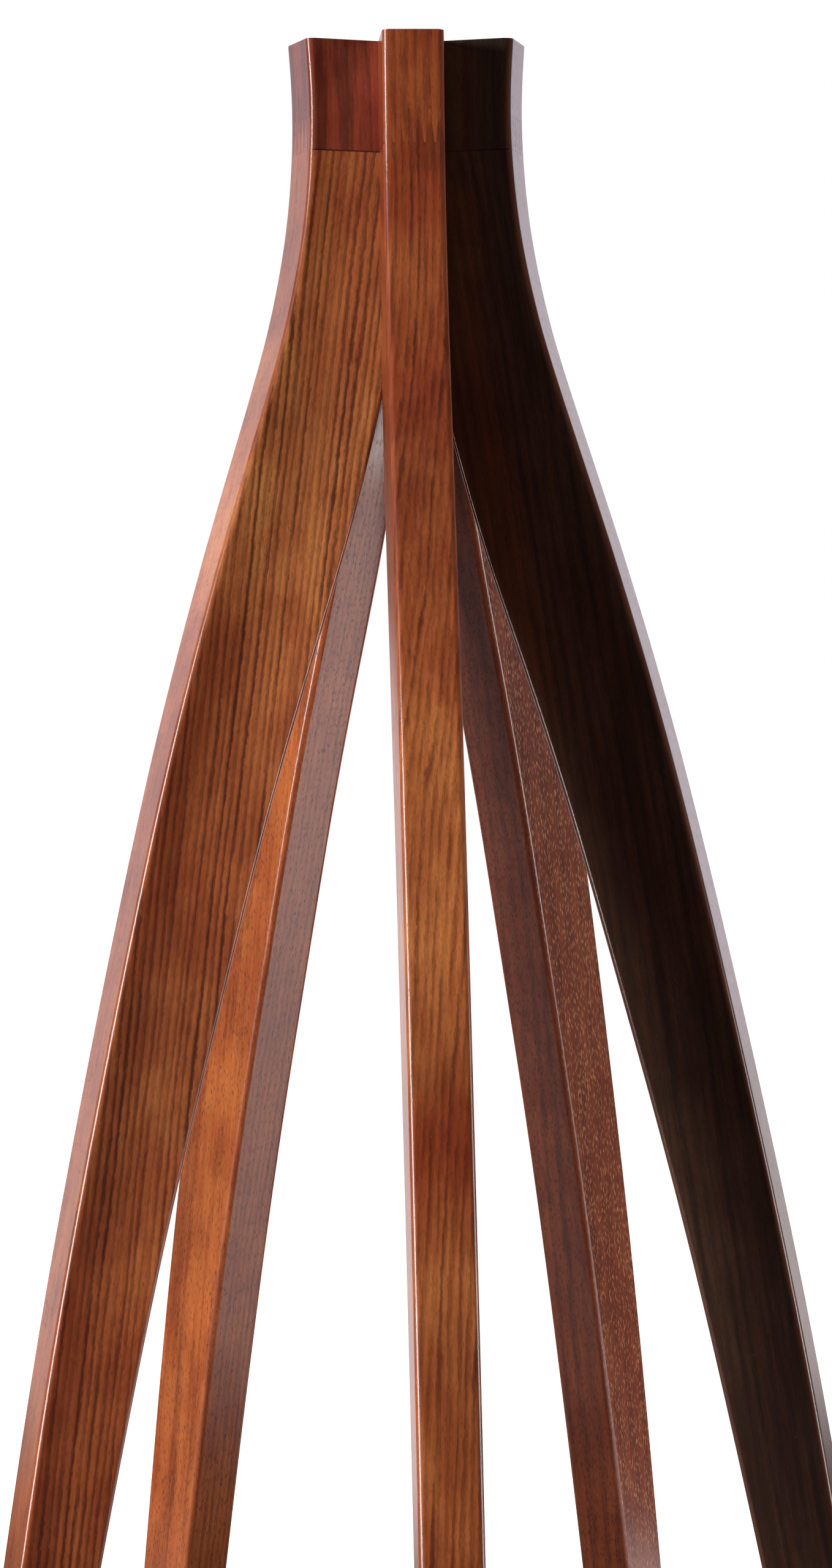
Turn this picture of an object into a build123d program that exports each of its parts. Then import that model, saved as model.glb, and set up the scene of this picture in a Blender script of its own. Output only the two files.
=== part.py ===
from build123d import *
from math import sin, cos, tan, radians
import os

# Five-legged wooden instrument stand, in millimetres.
# Frame: origin at the mouth of the centre thread, on the flat top face.
# +Z points up out of the top, -Y points along the front leg, +X to the right.

# ---- driving dimensions -------------------------------------------------
PLANK_T = 25.0          # thickness of each plank
HEIGHT = 720.0          # floor to top face, feet at mid setting
LEG_END = 20.0          # height of the legs' sawn ends above the floor
MITRE = 36.0            # half angle of each plank's inner wedge (five planks)
EDGE_R = 2.6            # rounding of the long edges

# side profile of a plank: (height relative to the top face, radius from axis)
OUTER = [
    (0.0, 47.8), (-20.0, 46.6), (-40.0, 46.6), (-60.0, 47.9), (-80.0, 50.4),
    (-100.0, 54.2), (-120.0, 59.1), (-140.0, 65.1), (-160.0, 71.5),
    (-200.0, 84.4), (-240.0, 96.5), (-280.0, 107.7), (-320.0, 117.9),
    (-360.0, 127.35), (-400.0, 136.4), (-440.0, 145.1), (-480.0, 153.5),
    (-520.0, 161.4), (-560.0, 168.7), (-600.0, 175.5), (-640.0, 182.0),
    (-670.0, 186.8), (-700.0, 191.5),
]
INNER = [
    (-117.0, 10.4), (-130.0, 12.9), (-145.0, 16.3), (-160.0, 19.9),
    (-180.0, 25.2), (-200.0, 31.0), (-240.0, 43.9), (-280.0, 57.1),
    (-320.0, 69.4), (-360.0, 80.7), (-400.0, 91.7), (-440.0, 102.6),
    (-480.0, 112.9), (-520.0, 122.5), (-560.0, 131.5), (-600.0, 140.2),
    (-640.0, 148.6), (-670.0, 154.7), (-700.0, 160.6),
]
COLUMN_END = -117.0     # underside of the solid column, between the legs

# finger joint between the upper stave and the leg plank
FINGER_TOP = -31.5
FINGER_BOTTOM = -45.0
FINGERS = 6
FINGER_TIP = 0.35       # half width of each blunt tip

# core dowel and mitre tongues
CORE_R = 8.0
CORE_TOP = -20.0
GLUE = 0.05             # glue line
TONGUE_RHO = 14.5       # distance of the tongue's centre from the axis
TONGUE_T = 3.0
TONGUE_W = 10.0
TONGUE_TOP = -22.0
TONGUE_END = -112.0

# brass mounting bush with a 3/8"-16 UNC thread (minor diameter modelled)
THREAD_R = 3.97
FLANGE_R = 18.0
FLANGE_T = 4.0
BOSS_R = 7.95
BOSS_END = -18.0
SCREW_PCR = 13.0        # pitch circle radius of the bush screws
SCREW_R = 1.75
SCREW_HEAD_R = 3.4
SCREW_LEN = 16.0

# levelling feet
FOOT_PCR = 175.5        # radius of the feet from the axis
INSERT_R = 6.0
INSERT_L = 14.0
STEM_R = 3.95           # M8 stem
STEM_BORE_R = 4.0
STEM_TOP = 52.0         # heights above the floor
HEX_TOP = 16.0
HEX_BOTTOM = 10.0
HEX_AF = 13.0
DISC_TOP = 9.0
DISC_BOTTOM = 3.0
DISC_R = 13.0

FLOOR = -HEIGHT
END_Z = FLOOR + LEG_END

LEGS = [
    ("front", 0.0),
    ("right", 72.0),
    ("back_right", 144.0),
    ("back_left", 216.0),
    ("left", 288.0),
]
JOINTS = [
    ("front_right", 36.0),
    ("right", 108.0),
    ("back", 180.0),
    ("left", 252.0),
    ("front_left", 324.0),
]

os.makedirs("parts", exist_ok=True)


def outward(phi):
    """Horizontal unit vector of azimuth phi; 0 is the front (-Y), + to +X."""
    a = radians(phi)
    return Vector(sin(a), -cos(a), 0)


UP = Vector(0, 0, 1)

# zigzag of the finger joint, (across the plank, height); tips point both ways
pitch = PLANK_T / FINGERS
zigzag = [(-PLANK_T / 2 - 5, FINGER_BOTTOM), (-PLANK_T / 2 + FINGER_TIP, FINGER_BOTTOM)]
for i in range(FINGERS):
    up_s = -PLANK_T / 2 + (i + 0.5) * pitch
    down_s = -PLANK_T / 2 + (i + 1) * pitch
    zigzag += [(up_s - FINGER_TIP, FINGER_TOP), (up_s + FINGER_TIP, FINGER_TOP)]
    zigzag += [(down_s - FINGER_TIP, FINGER_BOTTOM)]
    if i < FINGERS - 1:
        zigzag += [(down_s + FINGER_TIP, FINGER_BOTTOM)]
zigzag += [(PLANK_T / 2 + 5, FINGER_BOTTOM)]

for leg_name, phi in LEGS:
    out = outward(phi)
    side = Plane(origin=(0, 0, 0), x_dir=out, z_dir=out.cross(UP))
    face = Plane(origin=(0, 0, 0), x_dir=UP.cross(out), z_dir=out)
    foot = out * FOOT_PCR

    # the whole plank: side profile, rounded long edges, mitred inner edge
    with BuildPart() as plank:
        with BuildSketch(side):
            with BuildLine():
                Spline(*[(r, z) for z, r in OUTER])
                Line((OUTER[-1][1], END_Z), (INNER[-1][1], END_Z))
                Spline(*[(r, z) for z, r in reversed(INNER)])
                Polyline((INNER[0][1], COLUMN_END), (0, COLUMN_END), (0, 0), (OUTER[0][1], 0))
            make_face()
        extrude(amount=PLANK_T / 2, both=True)
        fillet(plank.edges().filter_by(lambda e: e.length > 500), EDGE_R)
        with BuildSketch(Plane(origin=(0, 0, FLOOR), x_dir=out, z_dir=UP)):
            w = 400 * tan(radians(MITRE))
            Polygon((0, 0), (400, -w), (400, w), align=None)
        extrude(amount=HEIGHT, mode=Mode.INTERSECT)
        # bore for the core dowel and recess for the bush's flange
        with BuildSketch(Plane.XY):
            Circle(CORE_R)
        extrude(amount=COLUMN_END - 5, mode=Mode.SUBTRACT)
        with BuildSketch(Plane.XY):
            Circle(FLANGE_R + GLUE)
        extrude(amount=-FLANGE_T, mode=Mode.SUBTRACT)
        # pilot hole of the bush screw
        with BuildSketch(Plane(origin=out * SCREW_PCR, x_dir=out, z_dir=UP)):
            Circle(SCREW_R + GLUE)
        extrude(amount=-SCREW_LEN - 1, mode=Mode.SUBTRACT)
        # grooves for the two mitre tongues
        for turn in (-MITRE, MITRE):
            rho = outward(phi + turn)
            with BuildSketch(Plane(origin=rho * TONGUE_RHO + UP * TONGUE_TOP, x_dir=rho, z_dir=UP)):
                Rectangle(TONGUE_T + 2 * GLUE, TONGUE_W + 2 * GLUE)
            extrude(amount=TONGUE_END - TONGUE_TOP, mode=Mode.SUBTRACT)
        # seat of the threaded insert and clearance for the stem
        with BuildSketch(Plane(origin=foot + UP * END_Z, x_dir=out, z_dir=UP)):
            Circle(INSERT_R + 0.03)
        extrude(amount=INSERT_L, mode=Mode.SUBTRACT)
        with BuildSketch(Plane(origin=foot + UP * END_Z, x_dir=out, z_dir=UP)):
            Circle(STEM_R + 0.65)
        extrude(amount=LEG_END + 20, mode=Mode.SUBTRACT)

    # the upper stave keeps what is above the finger joint
    with BuildPart() as stave:
        add(plank.part)
        with BuildSketch(face):
            with BuildLine():
                Polyline(*zigzag, (PLANK_T / 2 + 5, 5), (-PLANK_T / 2 - 5, 5), close=True)
            make_face()
        extrude(amount=80, mode=Mode.INTERSECT)
    stave.part.label = f"stave_{leg_name}"
    export_step(stave.part, f"parts/stave_{leg_name}.step")

    # the leg plank keeps the rest
    with BuildPart() as leg:
        add(plank.part)
        with BuildSketch(face):
            with BuildLine():
                Polyline(*zigzag, (PLANK_T / 2 + 5, 5), (-PLANK_T / 2 - 5, 5), close=True)
            make_face()
        extrude(amount=80, mode=Mode.SUBTRACT)
    leg.part.label = f"leg_{leg_name}"
    export_step(leg.part, f"parts/leg_{leg_name}.step")

    # threaded insert, flush with the leg's sawn end
    with BuildPart() as insert:
        with BuildSketch(Plane(origin=foot + UP * END_Z, x_dir=out, z_dir=UP)):
            Circle(INSERT_R)
            Circle(STEM_BORE_R, mode=Mode.SUBTRACT)
        extrude(amount=INSERT_L)
        rim = insert.edges().filter_by(GeomType.CIRCLE).group_by(Axis.Z)[-1]
        chamfer(rim.sort_by(SortBy.RADIUS)[-1], 0.8)
    insert.part.label = f"foot_insert_{leg_name}"
    export_step(insert.part, f"parts/foot_insert_{leg_name}.step")

    # levelling stem: threaded shank, hexagon, neck and spigot
    with BuildPart() as stem:
        with BuildSketch(Plane(origin=foot + UP * (FLOOR + HEX_BOTTOM), x_dir=out, z_dir=UP)):
            RegularPolygon(HEX_AF / 2, 6, major_radius=False)
        extrude(amount=HEX_TOP - HEX_BOTTOM)
        with BuildSketch(Plane(origin=foot + UP * (FLOOR + HEX_TOP), x_dir=out, z_dir=UP)):
            Circle(STEM_R)
        extrude(amount=STEM_TOP - HEX_TOP)
        tip = stem.edges().filter_by(GeomType.CIRCLE).group_by(Axis.Z)[-1]
        chamfer(tip, 0.8)
        with BuildSketch(Plane(origin=foot + UP * (FLOOR + HEX_BOTTOM), x_dir=out, z_dir=UP)):
            Circle(5.0)
        extrude(amount=DISC_TOP - HEX_BOTTOM)
        with BuildSketch(Plane(origin=foot + UP * (FLOOR + DISC_TOP), x_dir=out, z_dir=UP)):
            Circle(4.0)
        extrude(amount=-4.0)
    stem.part.label = f"foot_stem_{leg_name}"
    export_step(stem.part, f"parts/foot_stem_{leg_name}.step")

    # foot disc, turned, with a blind hole for the spigot
    with BuildPart() as disc:
        with BuildSketch(Plane(origin=foot + UP * FLOOR, x_dir=out, z_dir=out.cross(UP))):
            with BuildLine():
                Polyline((0, DISC_BOTTOM), (DISC_R, DISC_BOTTOM), (DISC_R, DISC_BOTTOM + 2.4))
                ThreePointArc(
                    (DISC_R, DISC_BOTTOM + 2.4),
                    (DISC_R - 1.7, DISC_TOP - 1.3),
                    (DISC_R - 4.6, DISC_TOP),
                )
                Polyline((DISC_R - 4.6, DISC_TOP), (0, DISC_TOP), (0, DISC_BOTTOM))
            make_face()
        revolve(axis=Axis((foot.X, foot.Y, 0), (0, 0, 1)))
        with BuildSketch(Plane(origin=foot + UP * (FLOOR + DISC_TOP), x_dir=out, z_dir=UP)):
            Circle(4.02)
        extrude(amount=-4.2, mode=Mode.SUBTRACT)
    disc.part.label = f"foot_disc_{leg_name}"
    export_step(disc.part, f"parts/foot_disc_{leg_name}.step")

    # rubber sole
    with BuildPart() as sole:
        with BuildSketch(Plane(origin=foot + UP * FLOOR, x_dir=out, z_dir=UP)):
            Circle(DISC_R)
        extrude(amount=DISC_BOTTOM)
        low = sole.edges().filter_by(GeomType.CIRCLE).group_by(Axis.Z)[0]
        fillet(low, 0.8)
    sole.part.label = f"foot_sole_{leg_name}"
    export_step(sole.part, f"parts/foot_sole_{leg_name}.step")

# core dowel on the column's axis
with BuildPart() as core:
    with BuildSketch(Plane.XY.offset(CORE_TOP)):
        Circle(CORE_R - GLUE)
    extrude(amount=COLUMN_END - CORE_TOP)
    chamfer(core.edges().filter_by(GeomType.CIRCLE), 0.8)
core.part.label = "core_dowel"
export_step(core.part, "parts/core_dowel.step")

# loose tongue across each mitre
for joint_name, phi in JOINTS:
    rho = outward(phi)
    with BuildPart() as tongue:
        with BuildSketch(Plane(origin=rho * TONGUE_RHO + UP * TONGUE_TOP, x_dir=rho, z_dir=UP)):
            Rectangle(TONGUE_T, TONGUE_W)
        extrude(amount=TONGUE_END - TONGUE_TOP)
    tongue.part.label = f"tongue_{joint_name}"
    export_step(tongue.part, f"parts/tongue_{joint_name}.step")

# mounting bush: flange flush with the top face, boss down into the core bore
screw_places = [outward(phi) * SCREW_PCR for _, phi in LEGS]
with BuildPart() as bush:
    with BuildSketch(Plane.XY):
        Circle(FLANGE_R)
    extrude(amount=-FLANGE_T)
    with BuildSketch(Plane.XY.offset(-FLANGE_T)):
        Circle(BOSS_R)
    extrude(amount=BOSS_END + FLANGE_T)
    chamfer(bush.edges().filter_by(GeomType.CIRCLE).group_by(Axis.Z)[0], 0.8)
    with Locations(*[(p.X, p.Y, 0) for p in screw_places]):
        CounterSinkHole(SCREW_R + 0.1, SCREW_HEAD_R + 0.05, depth=FLANGE_T + 1, counter_sink_angle=90)
    with BuildSketch(Plane.XY):
        Circle(THREAD_R)
    extrude(amount=BOSS_END - 1, mode=Mode.SUBTRACT)
bush.part.label = "mount_bush"
export_step(bush.part, "parts/mount_bush.step")

# countersunk screws, one into each stave
with BuildPart() as screws:
    for p in screw_places:
        with BuildSketch(Plane(origin=(p.X, p.Y, 0), x_dir=(1, 0, 0), z_dir=(0, -1, 0))):
            with BuildLine():
                Polyline(
                    (0, -0.1),
                    (SCREW_HEAD_R - 0.1, -0.1),
                    (SCREW_R, -0.1 - (SCREW_HEAD_R - 0.1 - SCREW_R)),
                    (SCREW_R, -SCREW_LEN + 2.5),
                    (0, -SCREW_LEN),
                    close=True,
                )
            make_face()
        revolve(axis=Axis((p.X, p.Y, 0), (0, 0, 1)))
        # cross recess
        with BuildSketch(Plane(origin=(p.X, p.Y, -0.1), x_dir=(1, 0, 0), z_dir=(0, 0, 1))):
            Rectangle(3.4, 0.8)
            Rectangle(0.8, 3.4)
        extrude(amount=-1.4, mode=Mode.SUBTRACT)
screws.part.label = "bush_screws"
export_step(screws.part, "parts/bush_screws.step")
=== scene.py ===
import bpy
import math
import numpy as np
from mathutils import Matrix, Vector
from mathutils.geometry import tessellate_polygon

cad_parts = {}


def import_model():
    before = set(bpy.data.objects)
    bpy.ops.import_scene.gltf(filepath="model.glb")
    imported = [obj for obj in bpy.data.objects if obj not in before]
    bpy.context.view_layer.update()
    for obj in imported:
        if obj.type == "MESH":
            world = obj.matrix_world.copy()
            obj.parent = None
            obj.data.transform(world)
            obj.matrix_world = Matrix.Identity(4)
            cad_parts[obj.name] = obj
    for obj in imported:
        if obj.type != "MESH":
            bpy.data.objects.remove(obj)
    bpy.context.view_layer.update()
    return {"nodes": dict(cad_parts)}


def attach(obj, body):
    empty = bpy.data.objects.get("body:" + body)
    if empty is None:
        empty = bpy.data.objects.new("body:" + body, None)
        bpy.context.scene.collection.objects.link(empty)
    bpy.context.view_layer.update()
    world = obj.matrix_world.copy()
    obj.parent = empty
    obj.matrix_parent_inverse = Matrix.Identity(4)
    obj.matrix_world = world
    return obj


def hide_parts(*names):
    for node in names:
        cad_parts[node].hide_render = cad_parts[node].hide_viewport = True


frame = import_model()

MM = 0.001
# light levels: radiance of the backdrop, of the dark side, and of the boxes
# (name, azimuth, distance, height, width, radiance, tint, tall); azimuth 0 is the viewer's side
BACKDROP_LEFT, BACKDROP_RIGHT, FRONT, FLOOR_GLOW = 0.75, 1.0, 0.022, 0.9
LIGHTS = [
    ("box_left", -60.0, 1.6, -0.42, 0.46, 19.5, (1.0, 0.99, 0.98), 1.5),
    ("box_right", 77.0, 1.5, -0.68, 0.5, 7.5, (1.0, 0.98, 0.98), 1.0),
    ("box_high", 15.0, 0.45, 1.5, 0.7, 4.5, (1.0, 1.0, 1.0), 0.7),
]
LEGS = [("front", 0.0), ("right", 72.0), ("back_right", 144.0), ("back_left", 216.0), ("left", 288.0)]
TONGUES = ["front_right", "right", "back", "left", "front_left"]

# ------------------------------------------------------------------ camera
# Solved from the outlines of the five legs; distances in mm in the row frame.
CAM_D, CAM_X, CAM_Z = 1508.0, 9.84, -238.25
CAM_PITCH, CAM_ROLL, CAM_TURN = 2.499, -0.634, 4.027
CAM_F, CAM_CX = 5924.6, 714.65          # in 1358 x 2560 pixels

turn = Matrix.Rotation(math.radians(-CAM_TURN), 3, "Z")
p, r = math.radians(CAM_PITCH), math.radians(CAM_ROLL)
forward = Vector((0, math.cos(p), -math.sin(p)))
up0 = Vector((0, math.sin(p), math.cos(p)))
right0 = Vector((1, 0, 0))
# image x = u cos r - v sin r with v downward, so the camera's own axes turn by r
right = right0 * math.cos(r) + up0 * math.sin(r)
up = up0 * math.cos(r) - right0 * math.sin(r)
axes = Matrix((turn @ right, turn @ up, -(turn @ forward))).transposed()
cam_data = bpy.data.cameras.new("camera")
cam = bpy.data.objects.new("camera", cam_data)
bpy.context.scene.collection.objects.link(cam)
cam.matrix_world = Matrix.Translation(turn @ Vector((CAM_X, -CAM_D, CAM_Z)) * MM) @ axes.to_4x4()
cam_data.sensor_width = 36.0
cam_data.sensor_fit = "AUTO"
cam_data.lens = CAM_F * 36.0 / 2560.0
cam_data.shift_x = -(CAM_CX - 679.0) / 2560.0
cam_data.clip_start, cam_data.clip_end = 0.05, 60.0
bpy.context.scene.camera = cam

# ------------------------------------------------------------------ node helpers


class Tree:
    """Short forms for building a shader node tree."""

    def __init__(self, tree):
        self.t = tree
        tree.nodes.clear()

    def node(self, kind, **props):
        n = self.t.nodes.new(kind)
        for k, v in props.items():
            setattr(n, k, v)
        return n

    def put(self, socket, value):
        if value is None:
            return
        if isinstance(value, bpy.types.NodeSocket):
            self.t.links.new(value, socket)
        else:
            if isinstance(value, tuple) and socket.type == "RGBA" and len(value) == 3:
                value = (*value, 1.0)
            socket.default_value = value

    def math(self, op, a, b=None, c=None, clamp=False):
        n = self.node("ShaderNodeMath", operation=op, use_clamp=clamp)
        self.put(n.inputs[0], a)
        self.put(n.inputs[1], b)
        self.put(n.inputs[2], c)
        return n.outputs[0]

    def vec(self, op, a, b=None):
        n = self.node("ShaderNodeVectorMath", operation=op)
        self.put(n.inputs[0], a)
        if b is not None:
            self.put(n.inputs[1], b)
        return n.outputs["Value"] if op in ("DOT_PRODUCT", "LENGTH", "DISTANCE") else n.outputs["Vector"]

    def xyz(self, x, y, z):
        n = self.node("ShaderNodeCombineXYZ")
        for s, v in zip(n.inputs, (x, y, z)):
            self.put(s, v)
        return n.outputs[0]

    def noise(self, vector, scale=1.0, detail=2.0, rough=0.5, distortion=0.0):
        n = self.node("ShaderNodeTexNoise")
        self.put(n.inputs["Vector"], vector)
        self.put(n.inputs["Scale"], scale)
        self.put(n.inputs["Detail"], detail)
        self.put(n.inputs["Roughness"], rough)
        self.put(n.inputs["Distortion"], distortion)
        return n.outputs["Fac"]

    def cells(self, vector, scale=1.0, feature="F1"):
        n = self.node("ShaderNodeTexVoronoi", feature=feature)
        self.put(n.inputs["Vector"], vector)
        self.put(n.inputs["Scale"], scale)
        return n.outputs["Distance"], n.outputs["Color"]

    def range(self, x, lo, hi, a=0.0, b=1.0, smooth=True):
        n = self.node("ShaderNodeMapRange", interpolation_type="SMOOTHSTEP" if smooth else "LINEAR")
        n.clamp = True
        for s, v in zip(n.inputs[:5], (x, lo, hi, a, b)):
            self.put(s, v)
        return n.outputs[0]

    def mix(self, f, a, b, blend="MIX"):
        n = self.node("ShaderNodeMix", data_type="RGBA", blend_type=blend)
        self.put(n.inputs[0], f)
        self.put(n.inputs[6], a)
        self.put(n.inputs[7], b)
        return n.outputs[2]

    def ramp(self, f, stops, mode="LINEAR"):
        n = self.node("ShaderNodeValToRGB")
        n.color_ramp.interpolation = mode
        while len(n.color_ramp.elements) < len(stops):
            n.color_ramp.elements.new(0.5)
        for e, (pos, col) in zip(n.color_ramp.elements, stops):
            e.position = pos
            e.color = (col, col, col, 1.0) if isinstance(col, float) else (*col, 1.0)
        self.put(n.inputs[0], f)
        return n.outputs[0]


def lin(r8, g8, b8):
    """sRGB 0..255 to linear."""
    out = []
    for v in (r8, g8, b8):
        v /= 255.0
        out.append(v / 12.92 if v <= 0.04045 else ((v + 0.055) / 1.055) ** 2.4)
    return tuple(out)


def scaled(c, k):
    return tuple(min(1.0, x * k) for x in c)


def wood(name, azimuth, tilt, spacing, pith, ground, band, strength=0.8, wander=1.3, pores=0.55,
         seed=0.0, blotch=0.25, edge_tint=0.25, seam=None, lean=0.0, pore_tone=None, stain=None, broad=0.0, flat=1.0, density=0.30,
         tones=(), rim=0.0, crown=None):
    """Lacquered ash as a solid: rings about a pith line that runs with the grain, pore dashes, fibres.

    azimuth is the plank's direction, tilt how far its straight grain leans out from the vertical and lean
    how far it leans across the plank, pith the ring centre (radial, across) and spacing the ring width in mm.
    stain is (height mm, half height mm, side) of a darker patch, broad the share of wide dark flames,
    tones lists (height mm, half height mm, amount) of light and dark patches, rim darkens the outer margin,
    crown is one such patch for the faces other than the flat sides."""
    mat = bpy.data.materials.new(name)
    mat.use_nodes = True
    t = Tree(mat.node_tree)
    a, tau, psi = math.radians(azimuth), math.radians(tilt), math.radians(lean)
    out = Vector((math.sin(a), -math.cos(a), 0))
    across = Vector((math.cos(a), math.sin(a), 0))
    grain = (-out * math.sin(tau) + across * math.sin(psi) + Vector((0, 0, math.cos(tau)))).normalized()
    face = (out - grain * out.dot(grain)).normalized()
    flank = grain.cross(face)
    if flank.dot(across) < 0:
        flank = -flank
    where = t.node("ShaderNodeTexCoord").outputs["Object"]
    ca = t.vec("DOT_PRODUCT", where, tuple(face * 1000))
    cb = t.vec("DOT_PRODUCT", where, tuple(flank * 1000))
    cg = t.vec("DOT_PRODUCT", where, tuple(grain * 1000))

    def at(sa, sg, shift=0.0):
        """Noise coordinates: sa cycles a mm across the grain, sg along it."""
        return t.xyz(
            t.math("MULTIPLY_ADD", ca, sa, seed + shift),
            t.math("MULTIPLY_ADD", cb, sa, seed * 1.7),
            t.math("MULTIPLY_ADD", cg, sg, seed * 0.6 + shift),
        )

    # rings
    pith_vec = t.xyz(t.math("SUBTRACT", ca, pith[0]), t.math("SUBTRACT", cb, pith[1]), 0.0)
    rho = t.vec("LENGTH", pith_vec)
    slow = t.noise(at(0.035, 0.005), 1.0, 2.0, 0.5)
    mid = t.noise(at(0.16, 0.02, 3.1), 1.0, 2.0, 0.5)
    rough = t.noise(at(0.55, 0.20, 4.4), 1.0, 3.0, 0.65)
    rho = t.math("ADD", rho, t.math("MULTIPLY", t.math("SUBTRACT", slow, 0.5), 6.0 * wander))
    rho = t.math("ADD", rho, t.math("MULTIPLY", t.math("SUBTRACT", mid, 0.5), 2.0 * wander))
    rho = t.math("ADD", rho, t.math("MULTIPLY", t.math("SUBTRACT", rough, 0.5), 0.66 * spacing))
    turns = t.math("DIVIDE", rho, spacing)
    part = t.math("FRACT", turns)
    ring_id = t.math("FLOOR", turns)
    own = t.node("ShaderNodeTexWhiteNoise", noise_dimensions="1D")
    t.put(own.inputs["W"], ring_id)
    early = t.ramp(part, [(0.0, 0.08), (0.14, 0.85), (0.32, 1.0), (0.52, 0.55), (0.70, 0.08), (0.94, 0.0), (1.0, 0.08)], "EASE")
    streak = t.noise(at(0.42, 0.014, 7.7), 1.0, 3.0, 0.62)
    early = t.math("MULTIPLY", early, t.range(own.outputs["Value"], 0.0, 1.0, 0.5, 1.0, smooth=False))
    early = t.math("MULTIPLY", early, t.range(streak, 0.30, 0.62, 0.5, 1.15))
    # pores: short dashes, most of them in the early wood
    dist, col = t.cells(at(1.0 / 0.58, 1.0 / 3.3, 11.0))
    pick = t.node("ShaderNodeSeparateColor")
    t.put(pick.inputs[0], col)
    kept = t.math("LESS_THAN", pick.outputs[0], t.math("MULTIPLY_ADD", early, 0.6, density))
    pore = t.math("MULTIPLY", t.range(dist, 0.18, 0.44, 1.0, 0.0), kept)
    # fibres and slow colour
    fibre = t.noise(at(1.1, 0.03, 5.0), 1.0, 3.0, 0.65)
    grit = t.noise(at(1.3, 0.45, 6.0), 1.0, 2.0, 0.6)
    cloud = t.noise(at(0.018, 0.011, 1.3), 1.0, 2.0, 0.5)
    flame = t.noise(at(0.045, 0.028, 9.0), 1.0, 3.0, 0.55)

    base = t.mix(t.range(cloud, 0.30, 0.70), scaled(ground, 0.88), scaled(ground, 1.12))
    red = (ground[0] * 0.80, ground[1] * 0.62, ground[2] * 0.62)
    yellow = (ground[0] * 1.12, ground[1] * 1.20, ground[2] * 1.05)
    base = t.mix(t.range(streak, 0.46, 0.72, 0.0, 0.75), base, red)
    base = t.mix(t.range(streak, 0.50, 0.28, 0.0, 0.6), base, yellow)
    normal = t.node("ShaderNodeNewGeometry").outputs["True Normal"]
    flat_cut = t.range(t.math("ABSOLUTE", t.vec("DOT_PRODUCT", normal, tuple(face))), 0.5, 0.85, 1.0, flat)
    base = t.mix(t.math("MULTIPLY", t.math("MULTIPLY", early, flat_cut), strength, clamp=True), base, band)
    if broad:
        wide = t.noise(at(0.16, 0.012, 15.0), 1.0, 3.0, 0.6)
        base = t.mix(t.range(wide, 0.46, 0.58, 0.0, broad), base, scaled(band, 0.42))
    hole = scaled(band, 0.5)
    if pore_tone:
        # pores pale on the plank's flat sides only
        flat_side = t.range(t.math("ABSOLUTE", t.vec("DOT_PRODUCT", normal, tuple(across))), 0.6, 0.8)
        hole = t.mix(flat_side, hole, pore_tone)
    base = t.mix(t.math("MULTIPLY", pore, pores), base, hole)
    shade = t.range(fibre, 0.25, 0.75, 0.80, 1.20, smooth=False)
    shade = t.math("MULTIPLY", shade, t.range(grit, 0.3, 0.7, 0.90, 1.10, smooth=False))
    base = t.mix(1.0, base, t.xyz(shade, shade, shade), "MULTIPLY")
    # slow patches turn redder as they darken
    patch = t.range(flame, 0.36, 0.64, -1.0, 1.0)
    base = t.mix(1.0, base, t.xyz(t.math("MULTIPLY_ADD", patch, blotch * 0.75, 1.0), t.math("MULTIPLY_ADD", patch, blotch * 1.25, 1.0),
                                  t.math("MULTIPLY_ADD", patch, blotch * 1.25, 1.0)), "MULTIPLY")
    z = t.node("ShaderNodeSeparateXYZ")
    t.put(z.inputs[0], where)
    if tones:
        bent = t.math("MULTIPLY_ADD", t.math("SUBTRACT", cloud, 0.5), 0.03, z.outputs[2])
        total = None
        for mid_z, half, amount in tones:
            one = t.range(t.math("ABSOLUTE", t.math("SUBTRACT", bent, mid_z * MM)), half * MM, half * 0.25 * MM, 0.0, amount)
            total = one if total is None else t.math("ADD", total, one)
        warm = t.math("MULTIPLY_ADD", total, 2.0, 1.0)
        toned = t.mix(1.0, base, t.xyz(t.math("ADD", total, 1.0), warm, warm), "MULTIPLY")
        if rim:
            toned = t.mix(t.range(t.math("ABSOLUTE", t.vec("DOT_PRODUCT", normal, tuple(across))), 0.7, 0.95), base, toned)
        base = toned
    if crown is not None:
        one = t.range(t.math("ABSOLUTE", t.math("SUBTRACT", z.outputs[2], crown[0] * MM)), crown[1] * MM, crown[1] * 0.3 * MM, 0.0, crown[2])
        warm = t.math("MULTIPLY_ADD", one, 1.25, 1.0)
        darker = t.mix(1.0, base, t.xyz(t.math("ADD", one, 1.0), warm, warm), "MULTIPLY")
        base = t.mix(t.range(t.math("ABSOLUTE", t.vec("DOT_PRODUCT", normal, tuple(across))), 0.7, 0.95), darker, base)
    if rim:
        margin = t.node("ShaderNodeAttribute", attribute_name="span").outputs["Fac"]
        outer_part = t.math("MULTIPLY", t.range(margin, 0.45, 0.95), t.range(z.outputs[2], -0.19, -0.27))
        inner_part = t.math("MULTIPLY", t.range(margin, 0.45, 0.10), t.range(z.outputs[2], -0.13, -0.19))
        tilt_tone = t.math("MULTIPLY_ADD", inner_part, 0.35 * rim, t.math("MULTIPLY_ADD", outer_part, -rim, 1.0))
        warm = t.math("MULTIPLY_ADD", inner_part, 0.45 * rim, t.math("MULTIPLY_ADD", outer_part, -1.3 * rim, 1.0))
        base = t.mix(1.0, base, t.xyz(tilt_tone, warm, warm), "MULTIPLY")
    if stain is not None:
        near = t.range(t.math("ABSOLUTE", t.math("SUBTRACT", z.outputs[2], stain[0] * MM)), stain[1] * MM, stain[1] * 0.3 * MM, 0.0, 1.0)
        near = t.math("MULTIPLY", near, t.range(t.math("MULTIPLY", cb, stain[2]), -4.0, 4.0, 0.0, 1.0))
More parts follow.
